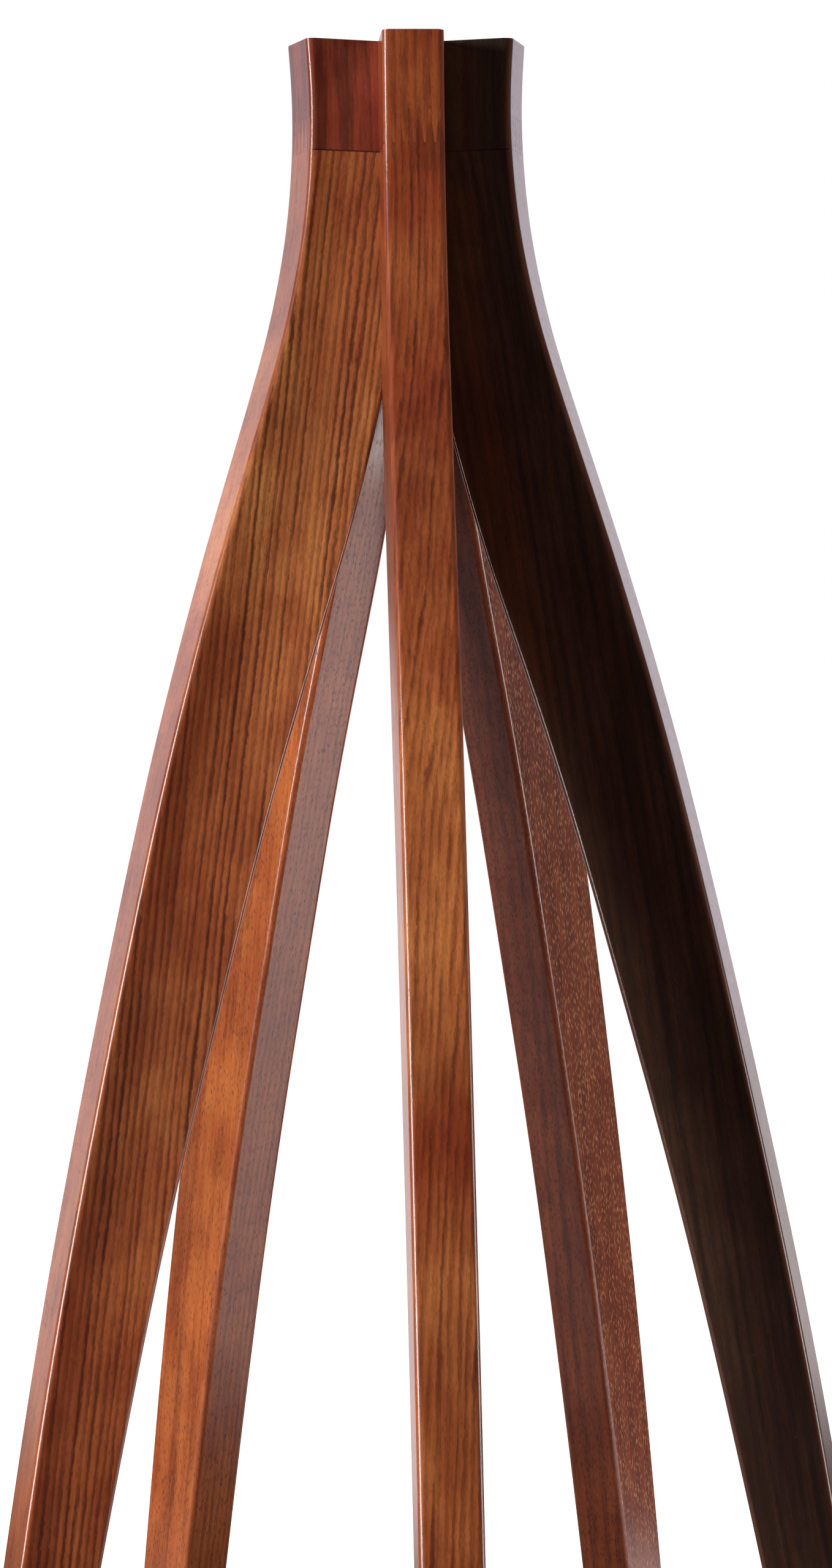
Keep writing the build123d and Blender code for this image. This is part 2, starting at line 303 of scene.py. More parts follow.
        near = t.math("MULTIPLY", near, t.range(flame, 0.3, 0.6, 0.6, 1.0))
        base = t.mix(t.math("MULTIPLY", near, 0.6), base, (band[0] * 0.75, band[1] * 0.5, band[2] * 0.5))
    # stain sits red on the rounded edges
    edge = t.node("ShaderNodeAttribute", attribute_name="edge").outputs["Fac"]
    base = t.mix(t.math("MULTIPLY", edge, edge_tint), base, lin(150, 66, 36))
    # end grain drinks more stain
    along = t.math("ABSOLUTE", t.vec("DOT_PRODUCT", normal, tuple(grain)))
    end = t.range(along, 0.75, 0.95)
    base = t.mix(t.math("MULTIPLY", end, 0.72), base, scaled(band, 0.8))
    if seam is not None:
        # the glue line of the joint is only straight on the plank's sides
        gap = t.math("ABSOLUTE", t.math("SUBTRACT", z.outputs[2], seam * MM))
        sideways = t.range(t.math("ABSOLUTE", t.vec("DOT_PRODUCT", normal, tuple(across))), 0.6, 0.8)
        line = t.math("MULTIPLY", t.range(gap, 0.00016, 0.00042, 0.8, 0.0), sideways)
        base = t.mix(line, base, (0.012, 0.006, 0.004))

    bsdf = t.node("ShaderNodeBsdfPrincipled")
    t.put(bsdf.inputs["Base Color"], base)
    t.put(bsdf.inputs["Roughness"], t.math("MULTIPLY_ADD", pore, 0.2, t.range(fibre, 0.2, 0.8, 0.34, 0.44, smooth=False)))
    bsdf.inputs["Specular IOR Level"].default_value = 0.3
    bsdf.inputs["Coat Weight"].default_value = 0.9
    bsdf.inputs["Coat Roughness"].default_value = 0.17
    bsdf.inputs["Coat IOR"].default_value = 1.5
    # relief: pores sink through the lacquer, which lies in slow waves
    wave = t.noise(at(0.11, 0.02, 2.0), 1.0, 2.0, 0.5)
    height = t.math("MULTIPLY_ADD", pore, -0.014, t.math("MULTIPLY", wave, 0.07))
    height = t.math("MULTIPLY_ADD", fibre, 0.012, height)
    bump = t.node("ShaderNodeBump")
    bump.inputs["Strength"].default_value = 1.0
    bump.inputs["Distance"].default_value = MM
    t.put(bump.inputs["Height"], height)
    t.put(bsdf.inputs["Normal"], bump.outputs[0])
    t.put(bsdf.inputs["Coat Normal"], bump.outputs[0])
    end_node = t.node("ShaderNodeOutputMaterial")
    t.put(end_node.inputs["Surface"], bsdf.outputs[0])
    return mat


def metal(name, tint, rough, centre=None, rings=0.0, grime=0.12):
    """Turned metal: fine tool rings about centre (x, y in m), soft tarnish, dark specks."""
    mat = bpy.data.materials.new(name)
    mat.use_nodes = True
    t = Tree(mat.node_tree)
    where = t.node("ShaderNodeTexCoord").outputs["Object"]
    mm = t.vec("MULTIPLY", where, (1000.0, 1000.0, 1000.0))
    cloud = t.noise(mm, 0.18, 4.0, 0.6)
    speck = t.noise(mm, 2.5, 3.0, 0.6)
    base = t.mix(t.range(cloud, 0.35, 0.7, 0.0, 1.0), tint, scaled(tint, 1.0 - grime * 2))
    base = t.mix(t.range(speck, 0.55, 0.75, 0.0, grime), base, scaled(tint, 0.45))
    bsdf = t.node("ShaderNodeBsdfPrincipled")
    bsdf.inputs["Metallic"].default_value = 1.0
    t.put(bsdf.inputs["Base Color"], base)
    t.put(bsdf.inputs["Roughness"], t.range(cloud, 0.3, 0.7, rough * 0.8, rough * 1.25, smooth=False))
    height = t.math("MULTIPLY", speck, 0.004)
    if centre is not None and rings:
        flat = t.vec("MULTIPLY", t.vec("SUBTRACT", mm, (centre[0] * 1000, centre[1] * 1000, 0.0)), (1.0, 1.0, 0.0))
        rad = t.vec("LENGTH", flat)
        tool = t.math("SINE", t.math("MULTIPLY", rad, 2 * math.pi / 0.22))
        uneven = t.noise(t.xyz(rad, 0.0, 0.0), 3.0, 3.0, 0.7)
        height = t.math("ADD", height, t.math("MULTIPLY", t.math("MULTIPLY", tool, uneven), rings))
    bump = t.node("ShaderNodeBump")
    bump.inputs["Distance"].default_value = MM
    t.put(bump.inputs["Height"], height)
    t.put(bsdf.inputs["Normal"], bump.outputs[0])
    t.put(t.node("ShaderNodeOutputMaterial").inputs["Surface"], bsdf.outputs[0])
    return mat


def rubber(name):
    mat = bpy.data.materials.new(name)
    mat.use_nodes = True
    t = Tree(mat.node_tree)
    where = t.node("ShaderNodeTexCoord").outputs["Object"]
    grit = t.noise(where, 2600.0, 3.0, 0.65)
    dust = t.noise(where, 190.0, 3.0, 0.6)
    base = t.mix(t.range(dust, 0.5, 0.75, 0.0, 0.55), (0.016, 0.016, 0.017), (0.07, 0.066, 0.06))
    bsdf = t.node("ShaderNodeBsdfPrincipled")
    t.put(bsdf.inputs["Base Color"], base)
    t.put(bsdf.inputs["Roughness"], t.range(grit, 0.3, 0.7, 0.62, 0.82, smooth=False))
    bump = t.node("ShaderNodeBump")
    bump.inputs["Strength"].default_value = 0.5
    bump.inputs["Distance"].default_value = 0.00006
    t.put(bump.inputs["Height"], grit)
    t.put(bsdf.inputs["Normal"], bump.outputs[0])
    t.put(t.node("ShaderNodeOutputMaterial").inputs["Surface"], bsdf.outputs[0])
    return mat


# ------------------------------------------------------------------ mesh helpers


def make_mesh(name, verts, faces, normals=None, edge=None, mat=None, smooth=True, span=None):
    """An object from mm vertices. normals is one per loop, edge and span one float per vertex."""
    me = bpy.data.meshes.new(name)
    me.from_pydata([(x * MM, y * MM, z * MM) for x, y, z in verts], [], faces)
    me.polygons.foreach_set("use_smooth", [smooth] * len(me.polygons))
    if edge is not None:
        at = me.attributes.new("edge", "FLOAT", "POINT")
        at.data.foreach_set("value", edge)
    if span is not None:
        at = me.attributes.new("span", "FLOAT", "POINT")
        at.data.foreach_set("value", span)
    if normals is not None:
        me.normals_split_custom_set(normals)
    if mat is not None:
        me.materials.append(mat)
    me.update()
    ob = bpy.data.objects.new(name, me)
    bpy.context.scene.collection.objects.link(ob)
    return ob


def natural(points):
    """A natural cubic through (z, r) points: returns f(z) and its slope."""
    pts = sorted(points)
    x = np.array([q[0] for q in pts])
    y = np.array([q[1] for q in pts])
    n, h = len(x), np.diff(x)
    m = np.zeros((n, n))
    rhs = np.zeros(n)
    m[0, 0] = m[-1, -1] = 1.0
    for i in range(1, n - 1):
        m[i, i - 1], m[i, i], m[i, i + 1] = h[i - 1], 2 * (h[i - 1] + h[i]), h[i]
        rhs[i] = 6 * ((y[i + 1] - y[i]) / h[i] - (y[i] - y[i - 1]) / h[i - 1])
    k = np.linalg.solve(m, rhs)

    def f(z):
        i = int(np.clip(np.searchsorted(x, z) - 1, 0, n - 2))
        a, b = (x[i + 1] - z) / h[i], (z - x[i]) / h[i]
        return float(a * y[i] + b * y[i + 1] + ((a**3 - a) * k[i] + (b**3 - b) * k[i + 1]) * h[i] ** 2 / 6)

    return f, lambda z: (f(z + 0.5) - f(z - 0.5))


OUTER = [
    (0.0, 47.8), (-20.0, 46.6), (-40.0, 46.6), (-60.0, 47.9), (-80.0, 50.4),
    (-100.0, 54.2), (-120.0, 59.1), (-140.0, 65.1), (-160.0, 71.5),
    (-200.0, 84.4), (-240.0, 96.5), (-280.0, 107.7), (-320.0, 117.9),
    (-360.0, 127.35), (-400.0, 136.4), (-440.0, 145.1), (-480.0, 153.5),
    (-520.0, 161.4), (-560.0, 168.7), (-600.0, 175.5), (-640.0, 182.0),
    (-670.0, 186.8), (-700.0, 191.5),
]
INNER = [
    (-117.0, 10.4), (-130.0, 12.9), (-145.0, 16.3), (-160.0, 19.9),
    (-180.0, 25.2), (-200.0, 31.0), (-240.0, 43.9), (-280.0, 57.1),
    (-320.0, 69.4), (-360.0, 80.7), (-400.0, 91.7), (-440.0, 102.6),
    (-480.0, 112.9), (-520.0, 122.5), (-560.0, 131.5), (-600.0, 140.2),
    (-640.0, 148.6), (-670.0, 154.7), (-700.0, 160.6),
]
r_out, slope_out = natural(OUTER)
r_in, slope_in = natural(INNER)
HALF, EDGE_R, MITRE = 12.5, 2.6, math.tan(math.radians(36.0))
COLUMN_END, LEG_END = -117.0, -700.0
F_TOP, F_BOTTOM, FINGERS, TIP = -31.5, -45.0, 6, 0.35
PITCH = 2 * HALF / FINGERS


def zig(s):
    """Height of the finger joint across the plank."""
    u = (s + HALF) / PITCH
    d = abs(u - math.floor(u) - 0.5) * PITCH      # distance from the nearest upward tip
    flat = PITCH / 2 - TIP
    if d <= TIP:
        return F_TOP
    if d >= flat:
        return F_BOTTOM
    return F_TOP + (F_BOTTOM - F_TOP) * (d - TIP) / (flat - TIP)


S = set()
for i in range(FINGERS + 1):
    down, upper = -HALF + i * PITCH, -HALF + (i + 0.5) * PITCH
    S |= {round(v, 4) for v in (down - TIP, down + TIP, upper - TIP, upper + TIP) if -HALF <= v <= HALF}
for deg in (0, 12, 24, 36, 48, 60, 69, 77, 84, 90):
    v = HALF - EDGE_R + EDGE_R * math.sin(math.radians(deg))
    S |= {round(v, 4), round(-v, 4)}
S = sorted(S)
keep = [S[0]]
for v in S[1:]:
    if v - keep[-1] > 0.008:
        keep.append(v)
keep[-1] = HALF
S = keep


def ring(z_of, inset=0.0, low=True, bore=0.0):
    """One loop of a plank: the outer side for every s in S, then the inner side backwards.

    Gives (points in plank coordinates, normals, edge values, cut flags)."""
    pts, nor, edg, cut = [], [], [], []
    for side in (1, -1):
        for s in S if side == 1 else reversed(S):
            z = z_of(s)
            arc = max(0.0, abs(s) - (HALF - EDGE_R))
            al = math.asin(min(1.0, arc / EDGE_R))
            sg = 1.0 if s >= 0 else -1.0
            ss = s * (1 - inset / HALF)
            hollow = z < COLUMN_END or low
            if side == 1:
                rr = r_out(z) - inset - EDGE_R * (1 - math.cos(al))
                sl = slope_out(z)
                n = Vector((math.cos(al), sg * math.sin(al), -math.cos(al) * sl))
                c = False
            else:
                base = (r_in(z) if hollow else 0.0) + inset
                rr = base + EDGE_R * (1 - math.cos(al)) if hollow else base
                sl = slope_in(z) if hollow else 0.0
                n = Vector((-math.cos(al), sg * math.sin(al), math.cos(al) * sl))
                wedge = abs(ss) / MITRE
                c = rr < wedge or rr < math.sqrt(max(0.0, bore**2 - ss**2))
                rr = max(rr, wedge, math.sqrt(max(0.0, bore**2 - ss**2)))
            pts.append((rr, ss, z))
            nor.append(n.normalized())
            edg.append(min(1.0, math.sin(2 * al) * 1.15) if al > 0 else 0.0)
            cut.append(c or inset > 0.3)
    return pts, nor, edg, cut


def plank(name, azimuth, rings, mat, steps=(), drill=None):
    """Joins the rings, closes both ends, and turns the plank to its azimuth. steps lists the
    index of each ring that starts a flat step, drill is (distance out, [(radius, z), ...]) of a
    stepped hole that starts in the first end."""
    a = math.radians(azimuth)
    out = Vector((math.sin(a), -math.cos(a), 0))
    across = Vector((math.cos(a), math.sin(a), 0))
    n, m = len(S), 2 * len(S)
    verts, edges, faces, normals = [], [], [], []

    def world(v):
        return out * v[0] + across * v[1] + Vector((0, 0, v[2]))

    for pts, _, edg, _ in rings:
        verts += [world(q) for q in pts]
        edges += edg

    def flat(idx):
        p0 = verts[idx[0]]
        nn = Vector()
        for i in range(1, len(idx) - 1):
            nn += (verts[idx[i]] - p0).cross(verts[idx[i + 1]] - p0)
        return nn.normalized() if nn.length > 0 else Vector((0, 0, 1))

    for k in range(len(rings) - 1):
        (_, na, _, ca), (_, nb, _, cb) = rings[k], rings[k + 1]
        for j in range(m):
            j2 = (j + 1) % m
            idx = (k * m + j, k * m + j2, (k + 1) * m + j2, (k + 1) * m + j)
            if (verts[idx[0]] - verts[idx[1]]).length < 1e-6 and (verts[idx[2]] - verts[idx[3]]).length < 1e-6:
                continue
            faces.append(idx)
            side = j == n - 1 or j == m - 1
            hard = k in steps or any((ca[j], ca[j2], cb[j], cb[j2]))
            if side:
                nn = across if j == n - 1 else -across
                normals += [nn] * 4
            elif hard:
                normals += [flat(idx)] * 4
            else:
                for q in (na[j], na[j2], nb[j2], nb[j]):
                    normals.append((out * q[0] + across * q[1] + Vector((0, 0, q[2]))).normalized())
    if drill is not None:
        middle, rows_down = drill
        count = 64
        hole = []
        for rad, z in rows_down:
            hole.append([len(verts) + i for i in range(count)])
            for i in range(count):
                th = 2 * math.pi * i / count
                verts.append(world((middle + rad * math.cos(th), rad * math.sin(th), z)))
                edges.append(0.0)

        def put(idx, wanted, nn=None):
            """Adds a face turned to the wanted side, with one flat normal or one per corner."""
            turned = flat(idx).dot(wanted) < 0
            faces.append(tuple(reversed(idx)) if turned else tuple(idx))
            if nn is None:
                normals.extend([wanted] * len(idx))
            else:
                normals.extend(reversed(nn) if turned else nn)

        down = Vector((0, 0, -1))
        rim = [Vector((q[0], q[1], 0)) for q in rings[0][0]]
        mouth = [Vector((middle + rows_down[0][0] * math.cos(2 * math.pi * i / count), rows_down[0][0] * math.sin(2 * math.pi * i / count), 0)) for i in range(count)]
        index = list(range(m)) + hole[0]
        for tri in tessellate_polygon([rim, mouth]):
            idx = [index[i] for i in tri]
            if flat(idx).length > 0.5:
                put(idx, down)
        radial = [-(out * math.cos(2 * math.pi * i / count) + across * math.sin(2 * math.pi * i / count)) for i in range(count)]
        for (lo_r, lo_z), (hi_r, hi_z), a_row, b_row in zip(rows_down, rows_down[1:], hole, hole[1:]):
            for i in range(count):
                i2 = (i + 1) % count
                idx = [a_row[i], a_row[i2], b_row[i2], b_row[i]]
                if abs(hi_z - lo_z) < 1e-6:
                    put(idx, down)
                else:
                    put(idx, radial[i], [radial[i], radial[i2], radial[i2], radial[i]])
        put(hole[-1], down)
    for k, first in ((0, True), (len(rings) - 1, False)):
        if first and drill is not None:
            continue
        for j in range(n - 1):
            o1, o2 = k * m + j, k * m + j + 1
            i1, i2 = k * m + (m - 1 - j), k * m + (m - 2 - j)
            idx = (o1, i1, i2, o2) if first else (o1, o2, i2, i1)
            faces.append(idx)
            normals += [flat(idx)] * 4
    span = ([1.0] * n + [0.0] * n) * len(rings)     # 1 on the outer side, 0 on the inner
    span += [0.5] * (len(verts) - len(span))
    return make_mesh(name, verts, faces, [tuple(v) for v in normals], edges, mat, span=span)


def revolve(profile, centre=(0.0, 0.0), count=96, shape=None):
    """A lathe surface in mm: profile is (radius, z) from one axis point to the other, or closed.
    shape(k, angle, radius, z) may change the radius."""
    verts, faces = [], []
    rings = []
    for k, (rad, z) in enumerate(profile):
        if rad < 1e-6:
            rings.append([len(verts)])
            verts.append((centre[0], centre[1], z))
            continue
        row = []
        for i in range(count):
            ang = 2 * math.pi * i / count
            rr, zz = (rad, z) if shape is None else shape(k, ang, rad, z)
            row.append(len(verts))
            verts.append((centre[0] + rr * math.cos(ang), centre[1] + rr * math.sin(ang), zz))
        rings.append(row)
    for a, b in zip(rings, rings[1:]):
        if len(a) == 1 and len(b) == 1:
            continue
        for i in range(count):
            j = (i + 1) % count
            if len(a) == 1:
                faces.append((a[0], b[j], b[i]))
            elif len(b) == 1:
                faces.append((a[i], a[j], b[0]))
            else:
                faces.append((a[i], a[j], b[j], b[i]))
    return verts, faces, rings


def applied(ob, *cutters):
    """Replaces the mesh by what its modifiers make of it, and removes the cutters."""
    dg = bpy.context.evaluated_depsgraph_get()
    me = bpy.data.meshes.new_from_object(ob.evaluated_get(dg))
    ob.modifiers.clear()
    ob.data = me
    for c in cutters:
        bpy.data.objects.remove(c)
    return ob


def outside(ob):
    """Turns every face outwards."""
    import bmesh

    bm = bmesh.new()
    bm.from_mesh(ob.data)
    bmesh.ops.remove_doubles(bm, verts=bm.verts, dist=1e-7)
    bmesh.ops.recalc_face_normals(bm, faces=bm.faces)
    bm.to_mesh(ob.data)
    bm.free()
    return ob


def finish_piece(ob, angle=35.0):
    """Sharp creases stay sharp, large faces stay flat."""
    me = ob.data
    me.validate()
    me.set_sharp_from_angle(angle=math.radians(angle))
    w = ob.modifiers.new("weighted", "WEIGHTED_NORMAL")
    w.keep_sharp = True
    return ob

# ------------------------------------------------------------------ boards
# Each board has its own tone and its own cut: pith (radial, across) in mm sets how the rings meet the faces. The right
# board's and the right stave's darker tone is partly their own and partly painted shade.
G = lin(196, 115, 64)
B = lin(97, 45, 27)
F = lin(166, 83, 43)
BOARDS = {
    "front": dict(tilt=8.5, lean=2.5, spacing=2.9, pith=(-30.0, -150.0), ground=F, band=lin(90, 38, 21), strength=0.78, pores=0.3, seed=3.1, blotch=0.16, stain=(-46.0, 15.0, 1.0),
                  tones=((-60.0, 26.0, -0.12), (-100.0, 26.0, 0.06), (-146.0, 26.0, -0.18), (-325.0, 110.0, 0.50), (-372.0, 44.0, 0.30), (-434.0, 24.0, -0.20), (-520.0, 90.0, 0.28), (-492.0, 26.0, 0.14))),
    # right board: its dark ground and band are partly its own tone and partly painted shade
    "right": dict(tilt=9.0, spacing=5.0, pith=(-260.0, 60.0), ground=lin(84, 54, 37), band=lin(42, 27, 20), strength=0.7, seed=14.2, blotch=0.16, broad=0.3),
    "back_right": dict(tilt=8.0, spacing=5.5, pith=(-60.0, 210.0), ground=lin(133, 66, 39), band=lin(78, 36, 26), strength=0.6, seed=27.7, blotch=0.16, pore_tone=lin(232, 152, 96), density=0.55, pores=0.8),
    "back_left": dict(tilt=9.0, spacing=3.0, pith=(40.0, 300.0), ground=lin(178, 95, 48), band=lin(118, 56, 31), strength=0.8, seed=38.4, blotch=0.14, pores=0.85, density=0.4),
    "left": dict(tilt=7.4, spacing=3.3, pores=0.35, pith=(-340.0, -40.0), ground=G, band=B, strength=1.0, seed=51.9, blotch=0.18, wander=1.1, flat=0.25, rim=0.36,
                 tones=((-165.0, 95.0, 0.32), (-350.0, 62.0, -0.12), (-570.0, 140.0, -0.19)), crown=(-20.0, 185.0, -0.36)),
}
STAVES = {
    "front": dict(tilt=-1.0, lean=-1.0, spacing=3.4, pith=(-60.0, 130.0), ground=scaled(F, 1.02), band=lin(94, 40, 22), strength=0.66, pores=0.3, seed=63.0, blotch=0.2),
    # right stave: its dark ground and band are partly its own tone and partly painted shade
    "right": dict(tilt=1.0, spacing=9.0, pith=(-120.0, -60.0), ground=lin(68, 46, 33), band=lin(35, 23, 17), strength=0.55, seed=71.0, blotch=0.1),
    "back_right": dict(tilt=0.5, spacing=7.0, pith=(-90.0, 120.0), ground=lin(144, 78, 52), band=lin(94, 48, 34), strength=0.5, seed=83.0, blotch=0.1),
    "back_left": dict(tilt=-1.5, spacing=6.0, pith=(-150.0, 80.0), ground=lin(168, 92, 50), band=lin(114, 58, 32), strength=0.5, seed=96.0, blotch=0.1),
    "left": dict(tilt=-0.5, spacing=9.0, pith=(-160.0, 70.0), ground=lin(168, 77, 52), band=lin(108, 48, 34), strength=0.8, pores=0.35, seed=105.0, blotch=0.22, broad=0.55, flat=0.4, crown=(-10.0, 120.0, -0.40)),
}


def leg_rings():
    rings = [ring(lambda s: LEG_END + 0.0, inset=0.6), ring(lambda s: LEG_END + 0.6)]
    z = LEG_END + 4.0
    while z < COLUMN_END - 1.5:
        rings.append(ring(lambda s, z=z: z))
        z += 4.0
    rings.append(ring(lambda s: COLUMN_END - 0.02))
    step = len(rings) - 1
    rings.append(ring(lambda s: COLUMN_END, low=False, bore=8.0))
    for z in (-113.0, -109.0, -105.0, -101.0, -97.0, -93.0, -89.0, -85.0, -81.0, -77.0, -73.0, -69.0, -65.0, -61.0, -57.0, -53.0, -49.5, -47.0):
        rings.append(ring(lambda s, z=z: z, low=False, bore=8.0))
    for f in (0.3, 0.6, 0.85):
        rings.append(ring(lambda s, f=f: -47.0 + (zig(s) - 0.3 + 47.0) * f, low=False, bore=8.0))
    rings.append(ring(lambda s: zig(s) - 0.22, low=False, bore=8.0))
    rings.append(ring(lambda s: zig(s) - 0.02, inset=0.14, low=False, bore=8.0))
    return rings, (step,)


def stave_rings():
    rings = [ring(lambda s: zig(s) + 0.02, inset=0.14, low=False, bore=8.0), ring(lambda s: zig(s) + 0.22, low=False, bore=8.0)]
    for f in (0.4, 0.7, 1.0):
        rings.append(ring(lambda s, f=f: zig(s) + 0.3 + (-28.0 - zig(s) - 0.3) * f, low=False, bore=8.0))
    for z in (-24.0, -20.0, -16.0, -12.0, -8.0, -4.0):
        rings.append(ring(lambda s, z=z: z, low=False, bore=8.0))
    step = len(rings) - 1
    for z in (-3.98, -0.7):
        rings.append(ring(lambda s, z=z: z, low=False, bore=18.05))
    rings.append(ring(lambda s: -0.2, inset=0.2, low=False, bore=18.05))
    rings.append(ring(lambda s: 0.0, inset=0.7, low=False, bore=18.05))
    return rings, (step,)


# seat of the threaded insert and clearance for the stem, from the leg's end upwards
FOOT_BORE = [(6.03, -700.0), (6.03, -686.0), (4.6, -686.0), (4.6, -660.0)]

leg_loops, leg_steps = leg_rings()
stave_loops, stave_steps = stave_rings()
for name, az in LEGS:
    mat = wood(f"ash_leg_{name}", az, seam=F_BOTTOM, **BOARDS[name])
    leg = plank(f"leg_board_{name}", az, leg_loops, mat, leg_steps, (175.5, FOOT_BORE))
    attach(leg, "stand")
    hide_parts(f"leg_{name}")
    mat = wood(f"ash_stave_{name}", az, seam=F_BOTTOM, **STAVES[name])
    stave = plank(f"stave_board_{name}", az, stave_loops, mat, stave_steps)
    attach(stave, "stand")
    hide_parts(f"stave_{name}")

# ------------------------------------------------------------------ hidden joinery keeps its CAD shape
beech = wood("beech", 0.0, 0.0, 3.0, (60.0, 90.0), lin(196, 158, 112), lin(168, 122, 80), strength=0.4, pores=0.3, seed=7.0, edge_tint=0.0)
for n in ["core_dowel"] + [f"tongue_{t}" for t in TONGUES]:
    me = frame["nodes"][n].data
    me.materials.clear()
    me.materials.append(beech)

# ------------------------------------------------------------------ brass bush with a 3/8"-16 thread
BRASS = (0.80, 0.56, 0.26)
bush_mat = metal("turned_brass", BRASS, 0.22, (0.0, 0.0), 0.02)


def tri_thread(pitch, major, minor, z_ends, lead=0.8):
    def shape(k, ang, rad, z):
        if rad > 1e8:
            u = (z / pitch - ang / (2 * math.pi)) % 1.0
            tri = min(1.0, max(0.0, (abs(u - 0.5) * 2 - 0.1) / 0.8))
            fade = min(1.0, max(0.0, min(z_ends[0] - z, z - z_ends[1]) / lead))
            return minor + (major - minor) * tri * fade if rad > 2e8 else major - (major - minor) * (1 - (1 - tri)) * fade, z
        return rad, z

    return shape


IN, EX = 3e8, 1.5e8     # marks for an internal and an external thread row


def rows(z0, z1, pitch, mark, per_turn=14):
    n = max(2, int(abs(z1 - z0) / pitch * per_turn))
    return [(mark, z0 + (z1 - z0) * i / n) for i in range(n + 1)]


# profile from the outer rim over the face, down the thread and back round the boss
UNC = 25.4 / 16
profile = [(17.7, -0.02), (17.95, -0.3), (18.0, -0.6), (18.0, -3.8), (17.8, -4.0), (7.95, -4.0), (7.95, -17.2), (7.3, -18.0), (4.9, -18.0)]
profile += rows(-17.4, -0.9, UNC, IN)
profile += [(4.75, -0.5), (5.1, -0.12), (5.3, -0.02), (6.4, 0.0), (7.0, -0.10), (7.2, -0.10), (7.8, 0.0), (9.3, 0.0), (13.0, 0.0), (16.6, 0.0), (17.7, -0.02)]
v, f, _ = revolve(profile, count=128, shape=tri_thread(UNC, 4.76, 3.97, (-0.9, -17.4)))
bush = make_mesh("bush_brass", v, f, mat=bush_mat)
# five screw holes are cut with cones
cutters = []
for _, az in LEGS:
    a = math.radians(az)
    cx, cy = 13.0 * math.sin(a), -13.0 * math.cos(a)
    v, f, _ = revolve([(0, 1.0), (4.45, 1.0), (1.85, -1.6), (1.85, -5.0), (0, -5.0)], (cx, cy), 48)
    cutters.append(outside(make_mesh(f"cut_{az:.0f}", v, f)))
outside(bush)
for c in cutters:
    m = bush.modifiers.new("hole", "BOOLEAN")
    m.operation, m.object, m.solver = "DIFFERENCE", c, "EXACT"
finish_piece(applied(bush, *cutters), 40.0)
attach(bush, "stand")
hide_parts("mount_bush")

# ------------------------------------------------------------------ countersunk brass screws with a cross recess
screw_mat = metal("screw_brass", (0.78, 0.58, 0.30), 0.26)
for k, (name, az) in enumerate(LEGS):
    a = math.radians(az)
    cx, cy = 13.0 * math.sin(a), -13.0 * math.cos(a)
    head = [(0, -0.10), (2.4, -0.10), (3.05, -0.14), (3.3, -0.32), (3.25, -0.45), (1.9, -1.75), (1.72, -2.4), (1.72, -4.2)]
    shank = rows(-4.2, -14.2, 1.2, EX, 10)
    v, f, _ = revolve(head + shank + [(1.2, -14.4), (0, -16.0)], (cx, cy), 40, tri_thread(1.2, 1.75, 1.2, (-4.2, -14.2)))
    screw = outside(make_mesh(f"bush_screw_{name}", v, f, mat=screw_mat))
    turned = a + 0.35 + 0.9 * k
    cuts = []
    for q in (0.0, math.pi / 2):
        # a tapered cross slot
        c, sn = math.cos(turned + q), math.sin(turned + q)
        top = [(-1.75, -0.36), (1.75, -0.36), (1.75, 0.36), (-1.75, 0.36)]
        low = [(-0.6, -0.22), (0.6, -0.22), (0.6, 0.22), (-0.6, 0.22)]
        vs = [(cx + x * c - y * sn, cy + x * sn + y * c, 0.4) for x, y in top]
        vs += [(cx + x * c - y * sn, cy + x * sn + y * c, -1.7) for x, y in low]
        fs = [(0, 1, 2, 3), (7, 6, 5, 4)] + [(i, (i + 1) % 4, (i + 1) % 4 + 4, i + 4) for i in range(4)]
        cuts.append(outside(make_mesh(f"slot_{name}_{q:.0f}", vs, fs)))
    for c in cuts:
        m = screw.modifiers.new("slot", "BOOLEAN")
        m.operation, m.object, m.solver = "DIFFERENCE", c, "EXACT"
    finish_piece(applied(screw, *cuts), 30.0)
    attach(screw, "stand")
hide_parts("bush_screws")

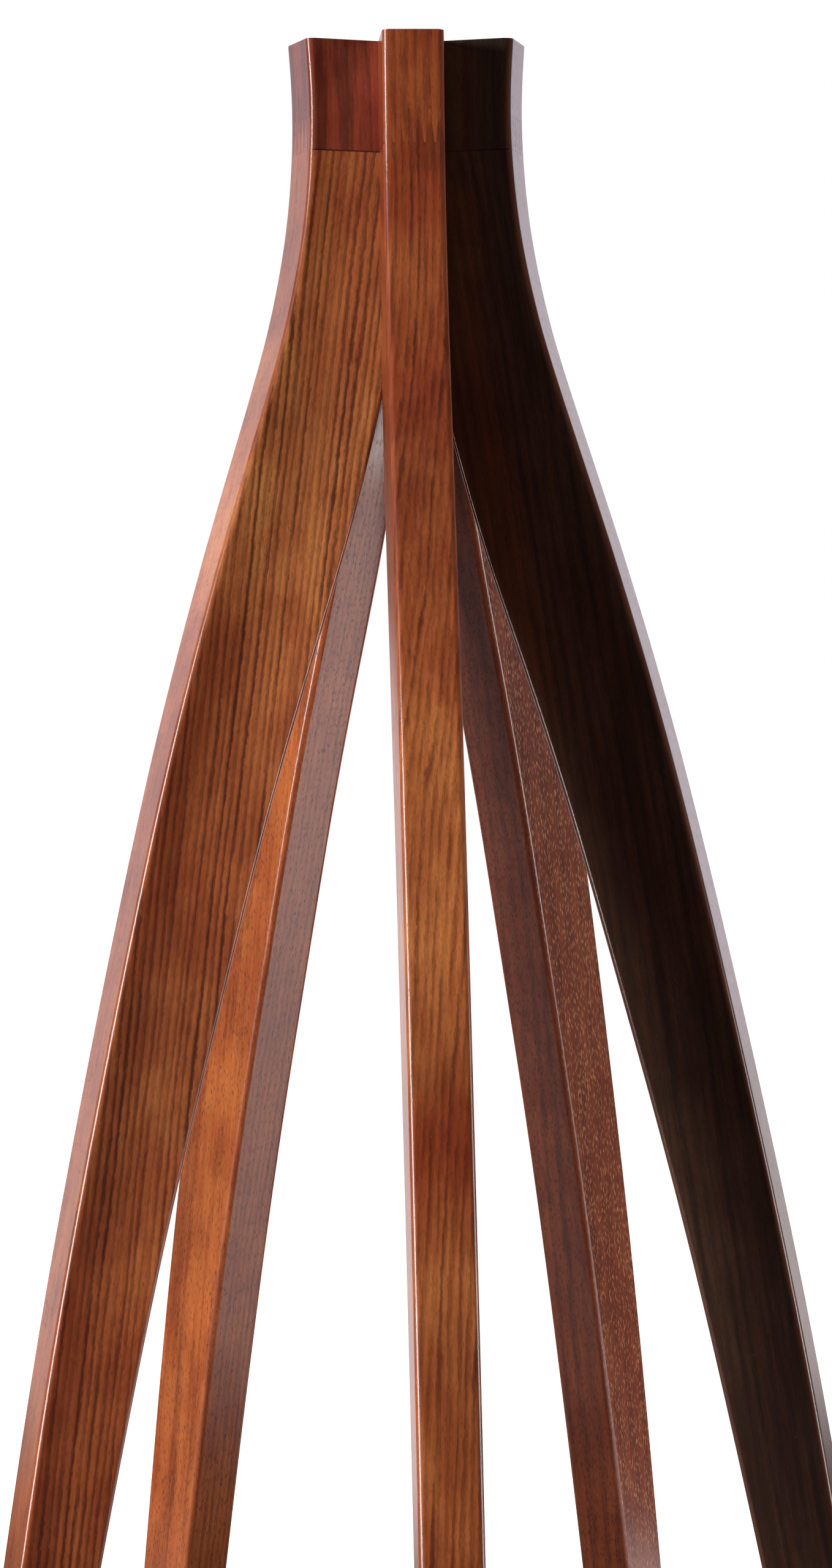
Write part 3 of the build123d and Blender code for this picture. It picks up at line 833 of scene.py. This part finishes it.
# ------------------------------------------------------------------ levelling feet
FLOOR = -720.0
sole_mat = rubber("sole_rubber")
for k, (name, az) in enumerate(LEGS):
    a = math.radians(az)
    c = (175.5 * math.sin(a), -175.5 * math.cos(a))
    steel = metal(f"zinc_{name}", (0.60, 0.60, 0.59), 0.30, (c[0] * MM, c[1] * MM), 0.010, grime=0.1)

    # threaded insert: a turned collar with two driver slots in its lower face
    prof = [(5.2, -700.0), (5.8, -699.9), (6.0, -699.6), (6.0, -698.6), (5.6, -698.0), (5.6, -687.0), (5.2, -686.0), (4.4, -686.0)]
    prof += [(4.05, -686.6), (4.05, -699.4), (4.5, -700.0), (5.2, -700.0)]
    v, f, _ = revolve(prof, c, 64)
    insert = outside(make_mesh(f"insert_{name}", v, f, mat=metal(f"insert_brass_{name}", BRASS, 0.3, (c[0] * MM, c[1] * MM), 0.015)))
    cuts = []
    for q in (0, 1):
        d = Vector((math.cos(a + math.pi * q), math.sin(a + math.pi * q), 0))
        e = Vector((-d.y, d.x, 0))
        o = Vector((c[0], c[1], 0)) + d * 5.2
        vs = [tuple(o + d * x * 1.6 + e * y * 0.6 + Vector((0, 0, z))) for z in (-701.0, -698.8) for x, y in ((-1, -1), (1, -1), (1, 1), (-1, 1))]
        fs = [(3, 2, 1, 0), (4, 5, 6, 7)] + [(i, (i + 1) % 4, (i + 1) % 4 + 4, i + 4) for i in range(4)]
        cuts.append(outside(make_mesh(f"drv_{name}_{q}", vs, fs)))
    for q in cuts:
        m = insert.modifiers.new("slot", "BOOLEAN")
        m.operation, m.object, m.solver = "DIFFERENCE", q, "EXACT"
    finish_piece(applied(insert, *cuts), 35.0)
    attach(insert, "stand")
    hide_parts(f"foot_insert_{name}")

    # stem: M8 thread, relief, hexagon with turned corners, neck
    hexr = 6.5

    def hexed(kk, ang, rad, z):
        if rad > 1e8:
            return thread(kk, ang, rad, z)
        if rad < 50:
            return rad, z
        u = (ang - a + math.pi / 6) % (math.pi / 3) - math.pi / 6   # flats face along the leg
        return min(hexr / math.cos(u), rad - 100.0), z

    thread = tri_thread(1.25, 3.95, 3.2, (-668.9, -703.2))
    prof = [(0, -668.0), (3.1, -668.0), (3.2, -668.3)] + rows(-668.9, -703.2, 1.25, EX, 10)
    prof += [(3.3, -703.5), (3.3, -704.0), (5.9, -704.0), (6.1, -704.05)]
    prof += [(106.5, -704.1), (107.0, -704.45), (107.51, -705.0), (107.51, -709.0), (107.0, -709.55), (106.5, -709.9)]
    prof += [(5.9, -710.0), (5.0, -710.05), (5.0, -711.0), (4.0, -711.0), (4.0, -715.0), (0, -715.0)]
    v, f, _ = revolve(prof, c, 72, hexed)
    stem = outside(make_mesh(f"stem_{name}", v, f, mat=steel))
    finish_piece(stem, 32.0)
    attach(stem, f"foot_{name}")
    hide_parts(f"foot_stem_{name}")

    # disc: turned, with a knurled rim
    def knurl(kk, ang, rad, z):
        if rad < 12.0 or not -716.2 < z < -714.8:
            return rad, z
        return rad - 0.28 * (0.5 + 0.5 * math.cos(ang * 60)), z

    prof = [(4.1, -711.0), (4.6, -710.99), (7.9, -711.0), (8.6, -711.05), (10.2, -711.55), (11.6, -712.5), (12.5, -713.7), (12.9, -714.6), (12.98, -714.9)]
    prof += [(12.98, -714.95), (12.98, -716.1), (12.98, -716.3), (12.9, -716.8), (12.6, -717.0), (0, -717.0)]
    prof = [(0, -714.9), (4.1, -714.9)] + prof
    v, f, _ = revolve(prof, c, 240, knurl)
    disc = outside(make_mesh(f"disc_{name}", v, f, mat=steel))
    finish_piece(disc, 32.0)
    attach(disc, f"foot_{name}")
    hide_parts(f"foot_disc_{name}")

    # rubber sole with a rolled rim and grip rings underneath
    prof = [(0, -717.0), (12.5, -717.0), (12.85, -717.15), (13.0, -717.5), (13.0, -719.2), (12.75, -719.75), (12.2, -720.0)]
    for rr in (11.6, 9.4, 7.2, 5.0):
        prof += [(rr, -720.0), (rr - 0.25, -719.35), (rr - 0.85, -719.35), (rr - 1.1, -720.0)]
    prof += [(0, -720.0)]
    v, f, _ = revolve(prof, c, 96)
    sole = outside(make_mesh(f"sole_{name}", v, f, mat=sole_mat))
    finish_piece(sole, 30.0)
    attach(sole, f"foot_{name}")
    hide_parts(f"foot_sole_{name}")

# ------------------------------------------------------------------ stage, light
scene = bpy.context.scene
scene.view_settings.view_transform = "Standard"

world = bpy.data.worlds.new("studio")
scene.world = world
world.use_nodes = True
t = Tree(world.node_tree)
ray = t.node("ShaderNodeTexCoord").outputs["Generated"]
sep = t.node("ShaderNodeSeparateXYZ")
t.put(sep.inputs[0], ray)
wide = t.math("SQRT", t.math("ADD", t.math("MULTIPLY", sep.outputs[0], sep.outputs[0]), t.math("MULTIPLY", sep.outputs[1], sep.outputs[1])))
ahead = t.math("DIVIDE", sep.outputs[1], t.math("MAXIMUM", wide, 0.02))
back = t.range(ahead, 0.42, 0.68)               # pale backdrop behind the stand
side = t.math("DIVIDE", sep.outputs[0], t.math("MAXIMUM", wide, 0.02))
pale = t.range(side, -0.5, 0.5, BACKDROP_LEFT, BACKDROP_RIGHT)
level = t.math("MULTIPLY_ADD", back, t.math("SUBTRACT", pale, FRONT), FRONT)
seen = t.node("ShaderNodeLightPath").outputs["Is Camera Ray"]
level = t.math("ADD", t.math("MULTIPLY", level, t.math("SUBTRACT", 1.0, seen)), t.math("MULTIPLY", seen, 1.0))
bg = t.node("ShaderNodeBackground")
t.put(bg.inputs["Color"], t.mix(seen, (1.0, 0.90, 0.98), (1.0, 1.0, 1.0)))
t.put(bg.inputs["Strength"], level)
t.put(t.node("ShaderNodeOutputWorld").inputs["Surface"], bg.outputs[0])


def softbox(name, azimuth, distance, height, size, radiance, tint=(1.0, 1.0, 1.0), tall=None):
    """A rectangular light aimed at the stand's middle; radiance is what it looks like in a mirror."""
    a = math.radians(azimuth)
    data = bpy.data.lights.new(name, "AREA")
    data.shape = "RECTANGLE"
    data.size, data.size_y = size, tall or size
    data.energy = radiance * math.pi * data.size * data.size_y
    data.color = tint
    ob = bpy.data.objects.new(name, data)
    bpy.context.scene.collection.objects.link(ob)
    ob.location = (distance * math.sin(a), -distance * math.cos(a), height)
    ob.rotation_euler = (Vector((0, 0, -0.36)) - ob.location).to_track_quat("-Z", "Y").to_euler()
    return ob


for args in LIGHTS:
    softbox(*args)

floor_mat = bpy.data.materials.new("floor_pale")
floor_mat.use_nodes = True
t = Tree(floor_mat.node_tree)
seen = t.node("ShaderNodeLightPath").outputs["Is Camera Ray"]
pale = t.node("ShaderNodeBsdfPrincipled")
pale.inputs["Base Color"].default_value = (0.80, 0.80, 0.80, 1.0)
pale.inputs["Roughness"].default_value = 0.6
pale.inputs["Emission Color"].default_value = (1.0, 1.0, 1.0, 1.0)
pale.inputs["Emission Strength"].default_value = FLOOR_GLOW
dim = t.node("ShaderNodeBsdfPrincipled")
dim.inputs["Base Color"].default_value = (0.06, 0.055, 0.055, 1.0)
dim.inputs["Roughness"].default_value = 0.9
dim.inputs["Specular IOR Level"].default_value = 0.0
dim.inputs["Emission Color"].default_value = (1.0, 0.89, 0.90, 1.0)
place = t.node("ShaderNodeSeparateXYZ")
t.put(place.inputs[0], t.node("ShaderNodeNewGeometry").outputs["Position"])
behind = t.math("MULTIPLY_ADD", t.math("ABSOLUTE", place.outputs[0]), -0.75, place.outputs[1])
far = t.range(behind, 0.1, 0.6, 0.0, 0.8)
# the lit part of the floor to the right, which the back planks mirror, and a faint one to the left
lane = t.math("ABSOLUTE", t.math("ADD", place.outputs[1], t.math("MULTIPLY_ADD", t.math("ABSOLUTE", place.outputs[0]), 0.25, -0.10)))
lane = t.range(lane, 0.16, 0.30, 1.0, 0.0)
lit = t.math("MULTIPLY", t.range(place.outputs[0], 0.08, 0.26), t.range(place.outputs[0], 0.30, 0.75, 1.35, 2.5, smooth=False))
lit = t.math("MULTIPLY", lit, t.range(place.outputs[0], 1.1, 1.5, 1.0, 0.0))
lit = t.math("ADD", lit, t.range(place.outputs[0], -0.05, -0.20, 0.0, 0.30))
t.put(dim.inputs["Emission Strength"], t.math("ADD", far, t.math("MULTIPLY", lit, lane)))
both = t.node("ShaderNodeMixShader")
t.put(both.inputs[0], seen)
t.put(both.inputs[1], dim.outputs[0])
t.put(both.inputs[2], pale.outputs[0])
t.put(t.node("ShaderNodeOutputMaterial").inputs["Surface"], both.outputs[0])
floor = make_mesh("floor", [(x, y, FLOOR - 12.1) for x, y in ((-9000, -9000), (9000, -9000), (9000, 9000), (-9000, 9000))], [(0, 1, 2, 3)], mat=floor_mat)

# ------------------------------------------------------------------ final update
bpy.context.view_layer.update()
